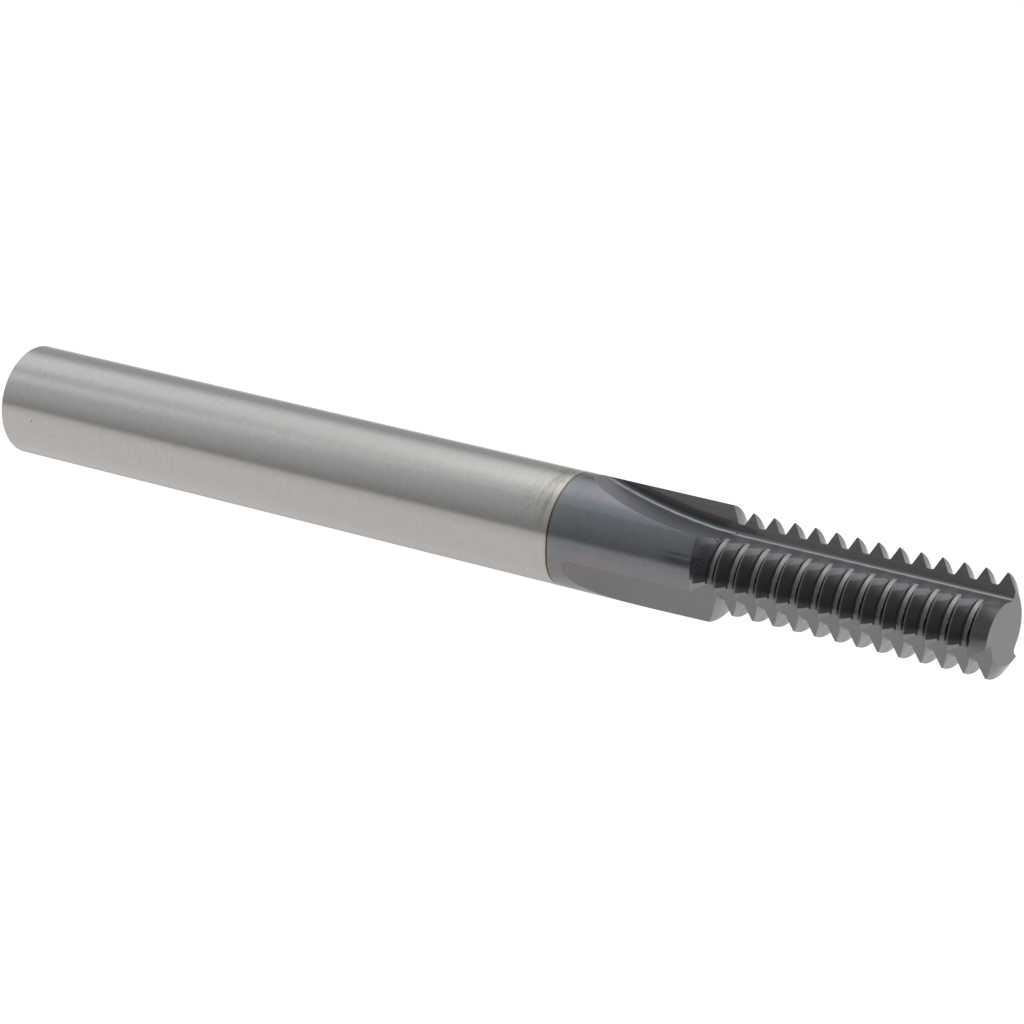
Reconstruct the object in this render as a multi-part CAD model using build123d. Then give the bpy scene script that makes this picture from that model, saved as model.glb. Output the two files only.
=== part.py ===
from build123d import *
import math
import os

# Straight-flute solid-carbide thread mill, one ground piece.
# Frame: origin at the centre of the flat back face of the shank, +Z along the
# tool towards the cutting end.  The first cutting edge lies on +X, the other
# two follow at 120 and 240 degrees.  All lengths in millimetres.

# ---- driving dimensions -------------------------------------------------
OVERALL_LENGTH = 63.9        # nominally 2.5 in
SHANK_D = 6.35               # 1/4 in, and the neck behind the teeth has the same diameter
SHANK_CHAMFER = 0.05         # edge break at the back end
CUTTER_D = 5.97              # over the cutting edges, 0.235 in
PITCH = 1.25                 # distance between the rings of teeth
TEETH = 13                   # rings, each in a plane square to the axis
CREST_FLAT = 0.07            # flat on top of a tooth, along the axis
ROOT_FLAT = 0.37             # flat at the bottom of a groove, its corners still sharp
ROOT_R = 0.15                # rounding of those corners
FLANK_DEG = 30.0             # flank from the plane square to the axis (60 degree form)
END_FLANK_DEG = 33.0         # front flank of the last tooth
NECK_FLANK_DEG = 27.0        # flank at the end of the neck
NECK_FOOT = 0.81             # from the first ring back to the foot of that flank
TIP_TO_END = 0.56            # from the middle of the last tooth to the end face
FLUTES = 3
RELIEF_X = 0.16              # centre of the relieved land, in the axes of its own edge
RELIEF_Y = 0.45
RAKE_DEG = 6.0               # positive rake: the face falls back towards the core
CORE_X = 1.62                # floor of the flute where it meets the rake face
FLOOR_SLOPE = 0.14           # the floor leans towards the core as it nears the next heel
FLOOR_END_Y = 2.90           # where the floor leaves the neck
FLOOR_SAG = 0.08             # the floor is hollow by this much between those two
CORNER_R = 0.30              # between rake face and floor
RUNOUT_R = 30.5              # grinding wheel radius at the end of the flute
RUNOUT_START = 0.34          # from the first ring of teeth, towards the cutting end

# ---- derived ------------------------------------------------------------
R_SHANK = SHANK_D / 2
R_CUT = CUTTER_D / 2
DEPTH = (PITCH - CREST_FLAT - ROOT_FLAT) / 2 / math.tan(math.radians(FLANK_DEG))
R_ROOT = R_CUT - DEPTH
Z_LAST = OVERALL_LENGTH - TIP_TO_END
Z_FIRST = Z_LAST - (TEETH - 1) * PITCH
STEP = 360.0 / FLUTES


def rho(r):
    """Distance from the relief centre of the point at radius r on the edge."""
    return math.hypot(r - RELIEF_X, RELIEF_Y)


def land_profile():
    """Half section of one relieved land: (distance from relief centre, z, corner radius)."""
    out = 4.6
    groove = (PITCH - ROOT_FLAT) / 2          # tooth middle to groove foot
    foot = Z_FIRST - NECK_FOOT
    t_neck = math.tan(math.radians(NECK_FLANK_DEG))
    pts = [(0.0, Z_FIRST - 6.0, 0), (out, Z_FIRST - 6.0, 0)]
    pts.append((out, foot - (out - rho(R_ROOT)) * t_neck, 0))
    pts.append((rho(R_ROOT), foot, ROOT_R))
    for i in range(TEETH):
        z = Z_FIRST + i * PITCH
        pts.append((rho(R_ROOT), z - groove, ROOT_R))
        pts.append((rho(R_CUT), z - CREST_FLAT / 2, 0))
        pts.append((rho(R_CUT), z + CREST_FLAT / 2, 0))
        if i < TEETH - 1:
            pts.append((rho(R_ROOT), z + groove, ROOT_R))
    r_rim = R_CUT - (TIP_TO_END - CREST_FLAT / 2) / math.tan(math.radians(END_FLANK_DEG))
    pts.append((rho(r_rim), OVERALL_LENGTH, 0))
    pts.append((rho(r_rim), OVERALL_LENGTH + 1.0, 0))
    pts.append((0.0, OVERALL_LENGTH + 1.0, 0))
    return pts


def rounded(points, place):
    """Closed outline of straight lines with an arc at each point that has a radius."""
    edges, n = [], len(points)
    ends = []
    for i, (p, z, r) in enumerate(points):
        here = place(p, z)
        if r == 0:
            ends.append((here, here))
            continue
        before = place(*points[i - 1][:2])
        after = place(*points[(i + 1) % n][:2])
        u, v = (before - here).normalized(), (after - here).normalized()
        half = math.acos(max(-1.0, min(1.0, u.dot(v)))) / 2
        t = r / math.tan(half)
        mid = here + (u + v).normalized() * (r / math.sin(half) - r)
        start, stop = here + u * t, here + v * t
        edges.append(ThreePointArc(start, mid, stop))
        ends.append((start, stop))
    for i in range(n):
        edges.append(Line(ends[i][1], ends[(i + 1) % n][0]))
    return make_face(Curve() + edges)


def land_cutter():
    """Everything outside one land, over the 120 degrees that belong to it."""
    face = rounded(land_profile(), lambda p, z: Vector(RELIEF_X + p, RELIEF_Y, z))
    axis = Axis((RELIEF_X, RELIEF_Y, 0), (0, 0, 1))
    land = revolve(face, axis=axis, revolution_arc=360)
    z0 = Z_FIRST - 3.0
    sector = [Vector(0, 0, z0)]
    for a in (20.0 - STEP, 20.0 - STEP / 2, 20.0):
        sector.append(Vector(9 * math.cos(math.radians(a)), 9 * math.sin(math.radians(a)), z0))
    wedge = extrude(make_face(Polyline(*sector, close=True)), amount=OVERALL_LENGTH + 0.5 - z0, dir=(0, 0, 1))
    return wedge - land


def flute_section(z):
    """Section of the flute ahead of the edge on +X, and its corner."""
    t_rake = math.tan(math.radians(RAKE_DEG))
    # rake line y = (x - R_CUT) t_rake meets the chord x = CORE_X - FLOOR_SLOPE y of the floor
    kx = (CORE_X + FLOOR_SLOPE * R_CUT * t_rake) / (1 + FLOOR_SLOPE * t_rake)
    corner = Vector(kx, (kx - R_CUT) * t_rake, z)
    heel = Vector(CORE_X - FLOOR_SLOPE * FLOOR_END_Y, FLOOR_END_Y, z)
    inward = Vector(-1, -FLOOR_SLOPE, 0).normalized()
    floor = ThreePointArc(corner, (corner + heel) * 0.5 + inward * FLOOR_SAG, heel)
    x_out, y_out = 5.0, 4.2
    pts = [heel, Vector(heel.X, y_out, z), Vector(x_out, y_out, z), Vector(x_out, (x_out - R_CUT) * t_rake, z), corner]
    face = make_face(Curve() + [floor] + [Line(a, b) for a, b in zip(pts, pts[1:])])
    return fillet(face.vertices().sort_by_distance(corner)[0], CORNER_R), corner


def flute_cutter():
    """Straight flute with the grinding wheel's run-out behind it."""
    z0 = Z_FIRST + RUNOUT_START
    face, corner = flute_section(z0)
    straight = extrude(face, amount=OVERALL_LENGTH + 1.0 - z0, dir=(0, 0, 1))
    # wheel axis: parallel to the chord of the floor, one wheel radius out from it
    floor_dir = Vector(-FLOOR_SLOPE, 1, 0).normalized()
    centre = corner + Vector(1, FLOOR_SLOPE, 0).normalized() * RUNOUT_R
    back = revolve(face, axis=Axis(centre, floor_dir), revolution_arc=22)
    if back.bounding_box().min.Z > Z_FIRST - 1:
        back = revolve(face, axis=Axis(centre, -floor_dir), revolution_arc=22)
    return straight + back


def thread_mill():
    body = Pos(0, 0, OVERALL_LENGTH / 2) * Cylinder(R_SHANK, OVERALL_LENGTH)
    back_edge = body.edges().filter_by(GeomType.CIRCLE).sort_by(Axis.Z)[0]
    body = chamfer(back_edge, SHANK_CHAMFER)
    land = land_cutter()
    flute = flute_cutter()
    for i in range(FLUTES):
        body = body - Rot(0, 0, i * STEP) * land
    for i in range(FLUTES):
        body = body - Rot(0, 0, i * STEP) * flute
    return body


os.makedirs("parts", exist_ok=True)
tool = thread_mill()
solids = tool.solids()
print("solids", len(solids), "volume", round(sum(s.volume for s in solids), 2), "valid", [s.is_valid for s in solids])
print("faces", len(tool.faces()), "box", tool.bounding_box())
result = solids[0] if len(solids) == 1 else tool
result.label = "thread_mill"
export_step(result, "parts/thread_mill.step")
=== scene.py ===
import math

import bpy
from mathutils import Matrix, Vector

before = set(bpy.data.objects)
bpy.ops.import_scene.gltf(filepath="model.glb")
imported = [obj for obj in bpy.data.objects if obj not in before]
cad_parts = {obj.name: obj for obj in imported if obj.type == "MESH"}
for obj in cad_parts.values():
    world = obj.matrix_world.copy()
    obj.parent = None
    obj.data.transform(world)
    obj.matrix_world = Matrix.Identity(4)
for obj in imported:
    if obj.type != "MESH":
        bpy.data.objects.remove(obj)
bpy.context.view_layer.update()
scene = bpy.context.scene
scene.view_settings.view_transform = "Standard"
scene.view_settings.look = "None"

MM = 0.001
Z_COAT = 38.05            # the coating starts here, mm from the back face
Z_FIRST = 48.34           # first ring of teeth
# tiny pits in the bare shank: place and radius, mm
PITS = [
    (-1.13, 2.96, 2.31, 0.080), (1.65, 2.71, 2.40, 0.050), (1.57, 2.75, 3.43, 0.035), (-1.66, 2.70, 3.86, 0.040),
    (2.55, 1.89, 8.51, 0.045), (2.49, 1.96, 11.81, 0.035), (1.84, 2.58, 16.76, 0.035), (2.09, 2.39, 17.22, 0.040),
]


# ---------------------------------------------------------------- node helpers
class Net:
    """Short calls for building a node tree."""

    def __init__(self, tree):
        self.tree = tree
        self.nodes = tree.nodes
        self.links = tree.links
        self.nodes.clear()

    def put(self, socket, value):
        if isinstance(value, bpy.types.NodeSocket):
            self.links.new(value, socket)
        elif value is not None:
            if hasattr(socket.default_value, "__len__") and not hasattr(value, "__len__"):
                value = [value] * len(socket.default_value)
            if hasattr(value, "__len__") and len(socket.default_value) == 4 and len(value) == 3:
                value = (*value, 1.0)
            socket.default_value = value

    def math(self, op, a, b=None, c=None, clamp=False):
        n = self.nodes.new("ShaderNodeMath")
        n.operation = op
        n.use_clamp = clamp
        for s, v in zip(n.inputs, (a, b, c)):
            self.put(s, v)
        return n.outputs[0]

    def vec(self, op, a, b=None, scale=None):
        n = self.nodes.new("ShaderNodeVectorMath")
        n.operation = op
        self.put(n.inputs[0], a)
        if b is not None:
            self.put(n.inputs[1], b)
        if scale is not None:
            self.put(n.inputs["Scale"], scale)
        return n.outputs["Value"] if op in ("DOT_PRODUCT", "LENGTH", "DISTANCE") else n.outputs["Vector"]

    def xyz(self, v):
        n = self.nodes.new("ShaderNodeSeparateXYZ")
        self.put(n.inputs[0], v)
        return n.outputs[0], n.outputs[1], n.outputs[2]

    def join(self, x, y, z):
        n = self.nodes.new("ShaderNodeCombineXYZ")
        for s, v in zip(n.inputs, (x, y, z)):
            self.put(s, v)
        return n.outputs[0]

    def step(self, v, lo, hi, a=0.0, b=1.0, smooth=True):
        n = self.nodes.new("ShaderNodeMapRange")
        n.interpolation_type = "SMOOTHSTEP" if smooth else "LINEAR"
        self.put(n.inputs["Value"], v)
        n.inputs["From Min"].default_value = lo
        n.inputs["From Max"].default_value = hi
        n.inputs["To Min"].default_value = a
        n.inputs["To Max"].default_value = b
        return n.outputs["Result"]

    def mix(self, f, a, b, kind="MIX"):
        n = self.nodes.new("ShaderNodeMix")
        n.data_type = "RGBA"
        n.blend_type = kind
        n.clamp_factor = True
        self.put(n.inputs[0], f)
        self.put(n.inputs[6], a)
        self.put(n.inputs[7], b)
        return n.outputs[2]

    def mixf(self, f, a, b):
        n = self.nodes.new("ShaderNodeMix")
        n.data_type = "FLOAT"
        self.put(n.inputs[0], f)
        self.put(n.inputs[2], a)
        self.put(n.inputs[3], b)
        return n.outputs[0]

    def noise(self, v, scale, detail=2.0, rough=0.5, dist=0.0, dim="3D"):
        n = self.nodes.new("ShaderNodeTexNoise")
        n.noise_dimensions = dim
        self.put(n.inputs["Vector"], v)
        n.inputs["Scale"].default_value = scale
        n.inputs["Detail"].default_value = detail
        n.inputs["Roughness"].default_value = rough
        n.inputs["Distortion"].default_value = dist
        return n.outputs["Fac"]

    def ramp(self, f, stops, mode="LINEAR"):
        n = self.nodes.new("ShaderNodeValToRGB")
        n.color_ramp.interpolation = mode
        e = n.color_ramp.elements
        e[0].position, e[0].color = stops[0][0], (*stops[0][1], 1.0)
        e[1].position, e[1].color = stops[-1][0], (*stops[-1][1], 1.0)
        for p, c in stops[1:-1]:
            q = e.new(p)
            q.color = (*c, 1.0)
        self.put(n.inputs[0], f)
        return n.outputs[0]


# ---------------------------------------------------------------- the material
def ground_carbide():
    m = bpy.data.materials.new("ground_carbide_coated")
    m.use_nodes = True
    N = Net(m.node_tree)
    out = N.nodes.new("ShaderNodeOutputMaterial")
    bsdf = N.nodes.new("ShaderNodeBsdfPrincipled")
    N.links.new(bsdf.outputs[0], out.inputs[0])
    bsdf.inputs["Metallic"].default_value = 1.0
    bsdf.inputs["Anisotropic"].default_value = 0.75
    bsdf.inputs["Anisotropic Rotation"].default_value = 0.25
    tangent = N.nodes.new("ShaderNodeTangent")
    tangent.direction_type = "RADIAL"
    tangent.axis = "Z"

    coord = N.nodes.new("ShaderNodeTexCoord")
    p = N.vec("SCALE", coord.outputs["Object"], scale=1000.0)      # mm
    x, y, z = N.xyz(p)
    radius = N.math("SQRT", N.math("ADD", N.math("MULTIPLY", x, x), N.math("MULTIPLY", y, y)))

    # grinding marks: thin lines that run round the tool
    round_fine = N.join(N.math("MULTIPLY", x, 0.35), N.math("MULTIPLY", y, 0.35), N.math("MULTIPLY", z, 26.0))
    round_wide = N.join(N.math("MULTIPLY", x, 0.25), N.math("MULTIPLY", y, 0.25), N.math("MULTIPLY", z, 3.2))
    lines = N.noise(round_fine, 1.0, 2.0, 0.6)
    bands = N.noise(round_wide, 1.0, 2.0, 0.6)
    film = N.noise(N.join(N.math("MULTIPLY", x, 0.8), N.math("MULTIPLY", y, 0.8), N.math("MULTIPLY", z, 0.7)), 1.0, 2.0, 0.6)
    cloud = N.noise(N.join(x, y, N.math("MULTIPLY", z, 1.1)), 2.6, 4.0, 0.72)
    wave = N.noise(N.join(N.math("MULTIPLY", x, 0.9), N.math("MULTIPLY", y, 0.9), N.math("MULTIPLY", z, 0.5)), 1.0, 2.0, 0.6)

    # a few tiny pits in the bare shank
    pits = None
    for px, py, pz, pr in PITS:
        d = N.vec("DISTANCE", p, (px, py, pz))
        one = N.step(d, pr, pr * 0.45)
        pits = one if pits is None else N.math("MAXIMUM", pits, one)

    # one flute's own frame: its edge on the first axis, its floor across the second
    theta = N.math("ARCTAN2", y, x)
    turn120 = math.radians(120.0)
    whole = N.math("MULTIPLY", N.math("FLOOR", N.math("DIVIDE", N.math("ADD", theta, math.radians(30.0)), turn120)), turn120)
    own = N.math("SUBTRACT", theta, whole)
    fx = N.math("MULTIPLY", radius, N.math("COSINE", own))
    fy = N.math("MULTIPLY", radius, N.math("SINE", own))
    geo = N.nodes.new("ShaderNodeNewGeometry")
    nx, ny, nz = N.xyz(geo.outputs["True Normal"])
    cw, sw = N.math("COSINE", whole), N.math("SINE", whole)
    mx, my, mz = N.xyz(geo.outputs["Normal"])
    gx = N.math("ADD", N.math("MULTIPLY", mx, cw), N.math("MULTIPLY", my, sw))
    gy = N.math("SUBTRACT", N.math("MULTIPLY", my, cw), N.math("MULTIPLY", mx, sw))
    # the rounded corner between rake face and floor is shaded with its true
    # curve: up is the height over the floor's chord, across the way along it,
    # both in the section that the grinding wheel leaves, also in its run-out
    into = N.math("MAXIMUM", N.math("SUBTRACT", Z_FIRST + 0.34, z), 0.0)
    down = N.math("SUBTRACT", 32.104354, N.math("ADD", N.math("MULTIPLY", fx, 0.990342), N.math("MULTIPLY", fy, 0.138648)))
    wheel = N.math("SQRT", N.math("ADD", N.math("MULTIPLY", down, down), N.math("MULTIPLY", into, into)))
    up = N.math("SUBTRACT", 30.5, wheel)
    across = N.math("ADD", N.math("SUBTRACT", N.math("MULTIPLY", fy, 0.990342), N.math("MULTIPLY", fx, 0.138648)), 0.367375)
    curve = N.vec("NORMALIZE", N.join(N.math("SUBTRACT", 0.2738, up), N.math("SUBTRACT", 0.2908, across), 0.0))
    m_up, m_across, m_none = N.xyz(curve)
    m_down = N.math("MULTIPLY", m_up, N.math("DIVIDE", down, wheel))
    true_curve = N.join(
        N.math("SUBTRACT", N.math("MULTIPLY", m_down, 0.990342), N.math("MULTIPLY", m_across, 0.138648)),
        N.math("ADD", N.math("MULTIPLY", m_down, 0.138648), N.math("MULTIPLY", m_across, 0.990342)),
        N.math("MULTIPLY", m_up, N.math("DIVIDE", into, wheel)))
    corner = N.math("MULTIPLY", N.math("MULTIPLY", N.step(up, 0.275, 0.255), N.step(across, 0.270, 0.250)), N.step(across, -0.08, -0.04))
    corner = N.math("MULTIPLY", corner, N.math("MULTIPLY", N.step(nz, 0.5, 0.3), N.step(z, 39.6, 40.6)))
    blend = N.nodes.new("ShaderNodeMix")
    blend.data_type = "VECTOR"
    N.put(blend.inputs[0], corner)
    N.put(blend.inputs[4], N.join(gx, gy, mz))
    N.put(blend.inputs[5], true_curve)
    own_normal = N.vec("NORMALIZE", blend.outputs[1])
    gx, gy, gz = N.xyz(own_normal)
    shading_normal = N.join(
        N.math("SUBTRACT", N.math("MULTIPLY", gx, cw), N.math("MULTIPLY", gy, sw)),
        N.math("ADD", N.math("MULTIPLY", gx, sw), N.math("MULTIPLY", gy, cw)),
        gz)
    in_flute = N.math("MULTIPLY", N.step(fy, -0.16, -0.06), N.step(radius, 3.17, 3.13))
    on_floor = N.math("MULTIPLY", N.math("MULTIPLY", N.step(N.math("ADD", N.math("MULTIPLY", gx, 0.990), N.math("MULTIPLY", gy, 0.139)), 0.84, 0.93), in_flute), N.step(z, 38.4, 38.6))

    on_rake = N.math("MULTIPLY", N.math("MULTIPLY", N.step(gy, 0.93, 0.97), N.step(fy, 0.10, 0.03)), N.step(z, 38.4, 38.6))
    ground_along = N.math("MAXIMUM", on_floor, on_rake)
    lengthways = N.nodes.new("ShaderNodeMix")
    lengthways.data_type = "VECTOR"
    N.put(lengthways.inputs[0], ground_along)
    N.put(lengthways.inputs[4], tangent.outputs[0])
    N.put(lengthways.inputs[5], (0.0, 0.0, 1.0))
    N.put(bsdf.inputs["Tangent"], lengthways.outputs[1])

    # the edge of the coating wanders a little and dips on one side
    zc = N.math("SUBTRACT", N.math("SUBTRACT", z, Z_COAT), N.math("MULTIPLY", N.math("SUBTRACT", wave, 0.5), 0.10))
    zc = N.math("ADD", zc, N.step(x, -1.2, -3.1, 0.0, 0.20))
    coated = N.step(zc, -0.02, 0.03)

    bare = N.mix(N.step(bands, 0.30, 0.70), (0.604, 0.597, 0.588), (0.611, 0.604, 0.595))
    bare = N.mix(N.math("MULTIPLY", N.step(lines, 0.45, 0.70), 0.11), bare, (0.53, 0.525, 0.515))
    bare = N.mix(N.math("MULTIPLY", N.step(cloud, 0.42, 0.66), 0.24), bare, (0.48, 0.48, 0.48))
    bare = N.mix(N.math("MULTIPLY", pits, 0.75), bare, (0.10, 0.10, 0.10))
    # pale straw band just behind the coating, brown at the line, and olive
    # smudges that run round the tool behind the band
    zw = N.math("ADD", zc, N.math("MULTIPLY", N.math("SUBTRACT", wave, 0.5), 0.9))
    upper_side = N.step(x, 0.2, 1.6)
    pale = N.math("MULTIPLY", N.math("MULTIPLY", N.step(zw, -0.46, -0.28), N.step(zc, 0.02, -0.10)), N.mixf(upper_side, 0.35, 1.0))
    bare = N.mix(N.math("MULTIPLY", pale, 0.60), bare, (0.655, 0.635, 0.550))
    brown = N.math("MULTIPLY", N.step(zc, -0.24, -0.06), N.mixf(upper_side, 1.0, 0.35))
    bare = N.mix(N.math("MULTIPLY", brown, 0.55), bare, (0.56, 0.46, 0.34))
    streak = N.noise(N.join(N.math("MULTIPLY", x, 0.6), N.math("MULTIPLY", y, 0.6), N.math("MULTIPLY", z, 7.0)), 1.0, 3.0, 0.6)
    tide = N.math("MULTIPLY", N.step(zw, -1.25, -0.85), N.step(zw, -0.26, -0.50))
    behind_tide = N.math("MULTIPLY", N.step(zw, -3.0, -1.5), N.step(zw, -0.70, -1.1))
    smudge = N.math("MULTIPLY", tide, N.step(N.mixf(0.35, streak, cloud), 0.42, 0.58, 0.15, 1.0))
    smudge = N.math("MAXIMUM", smudge, N.math("MULTIPLY", N.math("MULTIPLY", behind_tide, N.step(N.mixf(0.45, streak, cloud), 0.46, 0.60)), 0.34))
    side_f = N.mixf(N.step(x, -0.6, 1.0), 0.12, 1.0)
    bare = N.mix(N.math("MULTIPLY", N.math("MULTIPLY", smudge, side_f), 0.50), bare, (0.27, 0.27, 0.20))

    coat = N.ramp(film, [(0.30, (0.246, 0.281, 0.313)), (0.50, (0.262, 0.282, 0.311)), (0.70, (0.279, 0.280, 0.309))])
    # towards the teeth the film is nearly neutral
    coat = N.mix(N.step(z, 45.0, 48.5), coat, (0.247, 0.252, 0.262))
    coat = N.mix(N.math("MULTIPLY", N.step(cloud, 0.42, 0.62), 0.42), coat, (0.212, 0.223, 0.250))
    coat = N.mix(N.math("MULTIPLY", N.step(x, -0.9, -1.7), 0.85), coat, (0.279, 0.276, 0.280))
    start = N.math("MULTIPLY", N.step(zc, 1.1, 0.0), N.step(x, -1.6, -0.8))
    coat = N.mix(N.math("MULTIPLY", start, 0.8), coat, (0.284, 0.299, 0.291))
    coat = N.mix(N.math("MULTIPLY", N.step(lines, 0.42, 0.62), 0.16), coat, (0.222, 0.230, 0.250))
    # rose and blue patches of the thin film on the neck
    neck = N.math("MULTIPLY", N.step(zc, 0.7, 1.6), N.step(z, 45.5, 41.5))
    rose = N.math("MULTIPLY", N.math("MULTIPLY", neck, N.step(film, 0.50, 0.66)), N.step(x, -0.2, -1.2))
    coat = N.mix(N.math("MULTIPLY", rose, 0.55), coat, (0.318, 0.268, 0.286))
    blue = N.math("MULTIPLY", N.math("MULTIPLY", neck, N.step(film, 0.54, 0.40)), N.step(x, 0.0, 1.0))
    coat = N.mix(N.math("MULTIPLY", blue, 0.45), coat, (0.225, 0.274, 0.328))
    # the film is a little thinner in the grooves
    in_thread = N.math("MULTIPLY", N.step(z, 47.5, 47.7), N.step(nz, 0.97, 0.93))
    coat = N.mix(in_thread, coat, (0.238, 0.241, 0.246))
    # and lighter where a groove's flank runs out at the heel and at the edge
    flank = N.math("MULTIPLY", N.math("MULTIPLY", in_thread, N.step(nz, 0.2, 0.4)), N.step(z, 63.3, 63.2))
    at_heel = N.math("MULTIPLY", N.step(own, 1.36, 1.15), N.step(own, 0.4, 0.6))
    at_edge = N.math("MULTIPLY", N.step(own, -0.21, -0.05), N.step(own, 0.10, 0.02))
    thin_end = N.math("MAXIMUM", N.math("MULTIPLY", at_heel, 0.65), N.math("MULTIPLY", at_edge, 0.40))
    coat = N.mix(N.math("MULTIPLY", flank, thin_end), coat, (0.365, 0.370, 0.380))
    # painted shade on the last tooth's front flank: darker on two sides, slightly brown
    last_flank_painted_shade = N.math("MULTIPLY", N.math("MULTIPLY", N.step(z, 63.36, 63.42), N.step(nz, 0.97, 0.93)), N.step(nz, 0.2, 0.4))
    coat = N.mix(N.math("MULTIPLY", last_flank_painted_shade, N.step(x, 1.0, 1.3)), coat, (0.162, 0.160, 0.150))
    coat = N.mix(N.math("MULTIPLY", N.math("MULTIPLY", last_flank_painted_shade, 0.8), N.math("MULTIPLY", N.step(x, -0.05, -0.40), N.step(x, -1.15, -0.85))), coat, (0.190, 0.190, 0.190))
    coat = N.mix(N.math("MULTIPLY", N.step(z, 63.0, 63.4), N.step(nz, 0.97, 0.99)), coat, (0.253, 0.253, 0.254))
    # short dark strokes on the neck in front of the first ring
    along = N.noise(N.join(N.math("MULTIPLY", x, 7.0), N.math("MULTIPLY", y, 7.0), N.math("MULTIPLY", z, 0.25)), 1.0, 2.0, 0.6)
    stroke = N.math("MULTIPLY", N.math("MULTIPLY", N.step(z, 44.6, 46.0), N.step(z, 47.6, 47.3)), N.math("MULTIPLY", N.step(x, -0.55, -0.25), N.step(x, 0.35, 0.05)))
    stroke = N.math("MULTIPLY", N.math("MULTIPLY", stroke, N.step(y, 2.0, 2.5)), N.step(along, 0.40, 0.60))
    coat = N.mix(N.math("MULTIPLY", stroke, 0.60), coat, (0.10, 0.10, 0.10))
    # flute floors and rake faces are ground along their length
    neck_floor = N.mix(N.step(z, 39.0, 41.0), (0.318, 0.308, 0.328), (0.272, 0.280, 0.281))
    neck_floor = N.mix(N.math("MULTIPLY", N.step(along, 0.35, 0.65), 0.10), neck_floor, (0.14, 0.14, 0.14))
    tooth_floor = N.mix(N.step(along, 0.35, 0.65), (0.256, 0.264, 0.272), (0.272, 0.280, 0.288))
    floor_col = N.mix(N.step(z, 41.0, 45.0), neck_floor, tooth_floor)
    # a rose film along the lower flute's corner, fading out across its floor
    rose_edge = N.math("MULTIPLY", N.step(across, 1.30, 0.25), N.step(z, 47.0, 43.0))
    floor_col = N.mix(N.math("MULTIPLY", rose_edge, 0.60), floor_col, (0.316, 0.276, 0.298))
    blue_floor = N.mix(N.step(z, 40.5, 44.5), (0.322, 0.326, 0.358), (0.234, 0.245, 0.276))
    blue_floor = N.mix(N.math("MULTIPLY", N.step(along, 0.40, 0.65), 0.10), blue_floor, (0.12, 0.13, 0.15))
    floor_col = N.mix(N.step(x, 0.0, 0.6), floor_col, blue_floor)
    coat = N.mix(on_floor, coat, floor_col)
    # height over the floor of the flute, which rises along the wheel's arc
    arc = N.math("SUBTRACT", 32.12, N.math("SQRT", N.math("SUBTRACT", 930.25, N.math("MULTIPLY", into, into))))
    q = N.math("SUBTRACT", fx, arc)
    rake_col = N.mix(N.step(q, 0.2, 1.3), (0.314, 0.315, 0.318), (0.356, 0.356, 0.356))
    rake_col = N.mix(N.math("MULTIPLY", N.step(along, 0.40, 0.62), 0.45), rake_col, (0.245, 0.247, 0.252))
    rake_col = N.mix(N.math("MULTIPLY", N.step(z, 53.0, 64.0), 0.17), rake_col, (0.06, 0.06, 0.06))
    # painted shade on the rake face: a darker bottom and a purple-tinted dark line over it, standing in for a small
    # ground step; the line thins out by the second ring
    low_q = N.math("ADD", q, N.step(z, 47.2, 49.4, 0.0, 0.26))
    purple_painted_shade_line = N.math("MULTIPLY", N.math("MULTIPLY", N.step(low_q, 0.46, 0.58), N.step(low_q, 0.74, 0.66)), N.step(z, 47.6, 46.6, 0.55, 1.0))
    purple_painted_shade_line = N.math("MULTIPLY", purple_painted_shade_line, N.step(z, 49.5, 48.9))
    # painted shade: the rake face's darker bottom, then the purple-tinted dark line over it
    rake_painted_shade = N.math("MULTIPLY", N.step(q, 0.62, 0.50), N.step(z, 47.3, 46.6))
    rake_col = N.mix(rake_painted_shade, rake_col, (0.190, 0.200, 0.192))
    rake_col = N.mix(purple_painted_shade_line, rake_col, (0.235, 0.178, 0.196))
    coat = N.mix(on_rake, coat, rake_col)
    colour = N.mix(coated, bare, coat)
    # thin dark line where the coating begins
    line = N.math("MULTIPLY", N.step(zc, -0.07, -0.02), N.step(zc, 0.09, 0.03))
    colour = N.mix(N.math("MULTIPLY", line, N.mixf(upper_side, 0.88, 0.66)), colour, (0.03, 0.029, 0.022))
    # a short dark scratch along the neck, high on its upper side
    scratch = N.math("MULTIPLY", N.math("MULTIPLY", N.step(z, 38.50, 38.62), N.step(z, 39.20, 39.10)), N.math("MULTIPLY", N.step(y, 1.23, 1.28), N.step(y, 1.40, 1.34)))
    colour = N.mix(N.math("MULTIPLY", N.math("MULTIPLY", scratch, N.step(x, 2.6, 2.7)), 0.6), colour, (0.08, 0.08, 0.085))
    N.put(bsdf.inputs["Base Color"], colour)

    rough = N.math("ADD", N.mixf(on_floor, N.mixf(coated, 0.115, 0.12), 0.355), N.math("MULTIPLY", N.math("SUBTRACT", cloud, 0.5), 0.08))
    rough = N.math("ADD", rough, N.math("MULTIPLY", N.math("SUBTRACT", lines, 0.5), 0.03))
    N.put(bsdf.inputs["Roughness"], rough)

    bump = N.nodes.new("ShaderNodeBump")
    bump.inputs["Strength"].default_value = 0.12
    bump.inputs["Distance"].default_value = 0.001 * MM
    N.put(bump.inputs["Height"], lines)
    N.put(bump.inputs["Normal"], shading_normal)
    N.links.new(bump.outputs[0], bsdf.inputs["Normal"])
    return m


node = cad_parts["thread_mill"]
finish = ground_carbide()
for slot in node.material_slots:
    slot.material = finish

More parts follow.
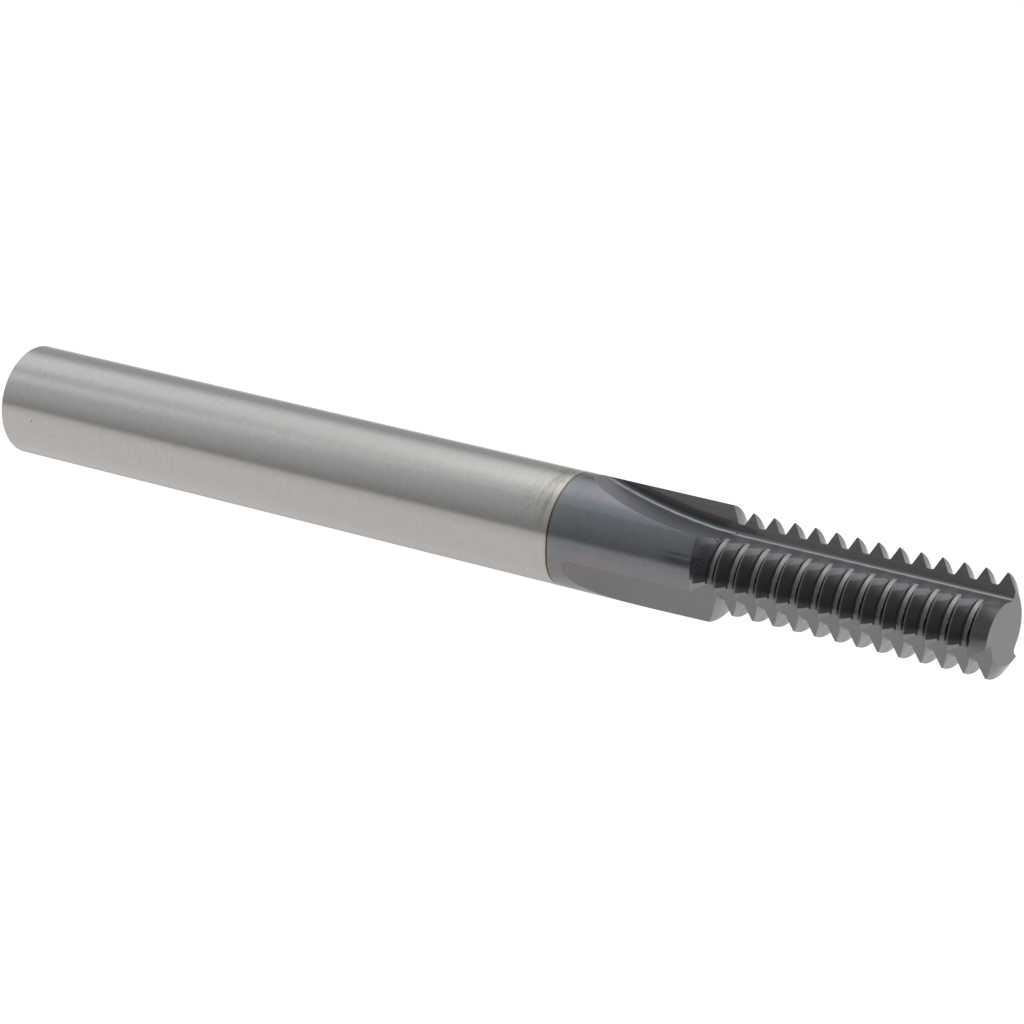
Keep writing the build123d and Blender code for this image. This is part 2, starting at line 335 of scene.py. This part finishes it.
# ---------------------------------------------------------------- floor
bpy.ops.mesh.primitive_plane_add(size=4.0, location=(0, 0, -0.0002))
floor = bpy.context.object
floor.name = "floor"
fm = bpy.data.materials.new("pale_floor")
fm.use_nodes = True
F = Net(fm.node_tree)
fo = F.nodes.new("ShaderNodeOutputMaterial")
fd = F.nodes.new("ShaderNodeBsdfDiffuse")
fe = F.nodes.new("ShaderNodeEmission")
fa = F.nodes.new("ShaderNodeAddShader")
fc = F.nodes.new("ShaderNodeTexCoord")
grain = F.noise(fc.outputs["Object"], 40.0, 2.0)
F.put(fd.inputs["Color"], F.mix(grain, (0.30, 0.30, 0.30), (0.34, 0.34, 0.34)))
fe.inputs["Color"].default_value = (1, 1, 1, 1)
fe.inputs["Strength"].default_value = 0.97
F.links.new(fd.outputs[0], fa.inputs[0])
F.links.new(fe.outputs[0], fa.inputs[1])
F.links.new(fa.outputs[0], fo.inputs[0])
floor.data.materials.append(fm)
floor.visible_glossy = False

# ---------------------------------------------------------------- camera
def look_from(position_mm, right, up, back, lens):
    cam = bpy.data.cameras.new("camera")
    cam.sensor_fit = "HORIZONTAL"
    cam.sensor_width = 36.0
    cam.lens = lens
    cam.clip_start, cam.clip_end = 0.01, 20.0
    o = bpy.data.objects.new("camera", cam)
    scene.collection.objects.link(o)
    m = Matrix((right, up, back)).transposed().to_4x4()
    m.translation = Vector(position_mm) * MM
    o.matrix_world = m
    scene.camera = o


CAM_AZ = math.radians(86.87)
look_from(
    (10.4792, 191.2702, 152.2833),
    Vector((0.205971, -0.523704, 0.826626)),
    Vector((0.977469, 0.070266, -0.199040)),
    Vector((0.046154, 0.848998, 0.526377)),
    145.674,
)

# ---------------------------------------------------------------- light
# A white tent with one long bright panel, a grey card and a dark hood above.
world = bpy.data.worlds.new("studio")
scene.world = world
world.use_nodes = True
W = Net(world.node_tree)
wo = W.nodes.new("ShaderNodeOutputWorld")
tc = W.nodes.new("ShaderNodeTexCoord")
dx, dy, dz = W.xyz(tc.outputs["Generated"])
c, s = math.cos(CAM_AZ), math.sin(CAM_AZ)
u = W.math("ADD", W.math("MULTIPLY", dx, c), W.math("MULTIPLY", dy, s))        # towards the camera's side
v = W.math("SUBTRACT", W.math("MULTIPLY", dy, c), W.math("MULTIPLY", dx, s))
turn = W.math("ARCTAN2", v, u)
t = W.math("ADD", W.math("DIVIDE", turn, 2 * math.pi), 0.5)


def g(k, tint=(1, 1, 1)):
    return tuple(k * q for q in tint)


WARM = (1.042, 0.994, 0.968)
MILD = (1.022, 1.003, 0.978)
# Ten soft-edged cards and panels stand round the tool below its own height.
# Each begins at a turn from the camera's bearing, at its foot and at its top
# (degrees), and runs to the next; then the softness of that edge, the light
# level at the foot, in the middle and at the top, and the tint.
PANELS = [
    ("far_corner", -177, -178, 13, 0.92, 0.92, 0.71, (1, 1, 1)),
    ("side_card", -160, -159, 26, 0.43, 0.40, 0.52, (1, 1, 1)),
    ("long_panel", -107, -114, 34, 0.85, 0.76, 1.46, (1, 1, 1)),
    ("panel_top", -57, -106, 40, 0.40, 0.98, 1.56, MILD),
    ("strip", -44, -68, 29, 1.00, 0.60, 0.83, (1, 1, 1)),
    ("grey_card", -35, -42, 35, 0.55, 0.50, 0.30, (1, 1, 1)),
    ("dark_strip", 9, -17, 65, 0.27, 0.28, 0.22, (1, 1, 1)),
    ("near_wall", 26, 25, 14, 0.54, 0.53, 0.71, WARM),
    ("side_wall", 32, 41, 27, 0.71, 0.67, 0.75, WARM),
    ("wall_end", 164, 150, 64, 0.35, 0.42, 0.80, MILD),
]
# The wall behind the tool, by turn, at the height of the horizon.
WALL = [
    (-180, g(0.78)), (-166, g(0.63)), (-150, g(0.59)), (-130, g(0.50)), (-112, g(0.48)), (-90, g(0.46)),
    (90, g(0.52)), (112, g(0.55)), (128, g(0.72)), (155, g(0.83)), (166, g(0.82)), (180, g(0.78)),
]


def ring(stops):
    return W.ramp(t, [((d + 180) / 360, col) for d, col in stops])


bearing = W.math("DEGREES", turn)
rise = W.step(dz, -0.616, -0.454, smooth=False)


def level_of(panel):
    name, foot, top, soft, low_level, mid_level, top_level, tint = panel
    return W.ramp(rise, [(0.0, g(low_level, tint)), (0.593, g(mid_level, tint)), (1.0, g(top_level, tint))])


def stand(behind, panel, shift=0.0):
    """The light with one more panel beginning where the one behind it ends."""
    name, foot, top, soft = panel[:4]
    begins = W.math("MULTIPLY_ADD", rise, float(top - foot), float(foot + shift))
    return W.mix(W.step(W.math("SUBTRACT", bearing, begins), -soft / 2, soft / 2), behind, level_of(panel))


low = level_of(PANELS[-1])
for panel in PANELS:
    low = stand(low, panel)
low = stand(low, PANELS[0], 360.0)
# above: a bright wall behind the tool that falls off with height, and a dark
# hood over the camera's side whose edge passes just behind the zenith
height = W.ramp(dz, [(0.0, g(1.0)), (0.10, g(1.02)), (0.22, g(1.03)), (0.42, g(1.05)), (0.64, g(1.12)), (0.85, g(1.27)), (1.0, g(1.25))])
wall = W.mix(1.0, ring(WALL), height, "MULTIPLY")
dark = W.mix(W.step(dz, 0.68, 0.95), (0.075, 0.075, 0.079), (0.208, 0.209, 0.213))
edge = W.step(v, -0.10, 0.22, -0.155, 0.09)
past = W.math("SUBTRACT", edge, u)
bump_x = W.math("SUBTRACT", u, -0.17)
bump_y = W.math("SUBTRACT", v, -0.12)
bulge = W.math("SQRT", W.math("ADD", W.math("MULTIPLY", bump_x, bump_x), W.math("MULTIPLY", bump_y, bump_y)))
open_f = W.math("MULTIPLY", W.step(past, -0.13, 0.13), W.math("MAXIMUM", W.step(bulge, 0.12, 0.30), W.step(dz, 0.8, 0.6)))
upper = W.mix(open_f, dark, wall)
# the rings fade into the upper part: early behind, late on the camera's side
fade_back = W.step(dz, -0.44, -0.20)
fade_front = W.mixf(W.step(v, 0.25, 0.75), W.step(dz, -0.36, 0.20), W.step(dz, -0.12, 0.30))
fade = W.mixf(W.step(u, 0.25, -0.45), fade_front, fade_back)
e = W.mix(fade, low, upper)
e = W.mix(W.step(dz, -0.80, -0.97), e, (0.60, 0.59, 0.58))
bg = W.nodes.new("ShaderNodeBackground")
W.links.new(e, bg.inputs["Color"])
white = W.nodes.new("ShaderNodeBackground")
white.inputs["Color"].default_value = (1, 1, 1, 1)
white.inputs["Strength"].default_value = 1.05
lp = W.nodes.new("ShaderNodeLightPath")
ms = W.nodes.new("ShaderNodeMixShader")
W.links.new(lp.outputs["Is Camera Ray"], ms.inputs[0])
W.links.new(bg.outputs[0], ms.inputs[1])
W.links.new(white.outputs[0], ms.inputs[2])
W.links.new(ms.outputs[0], wo.inputs["Surface"])
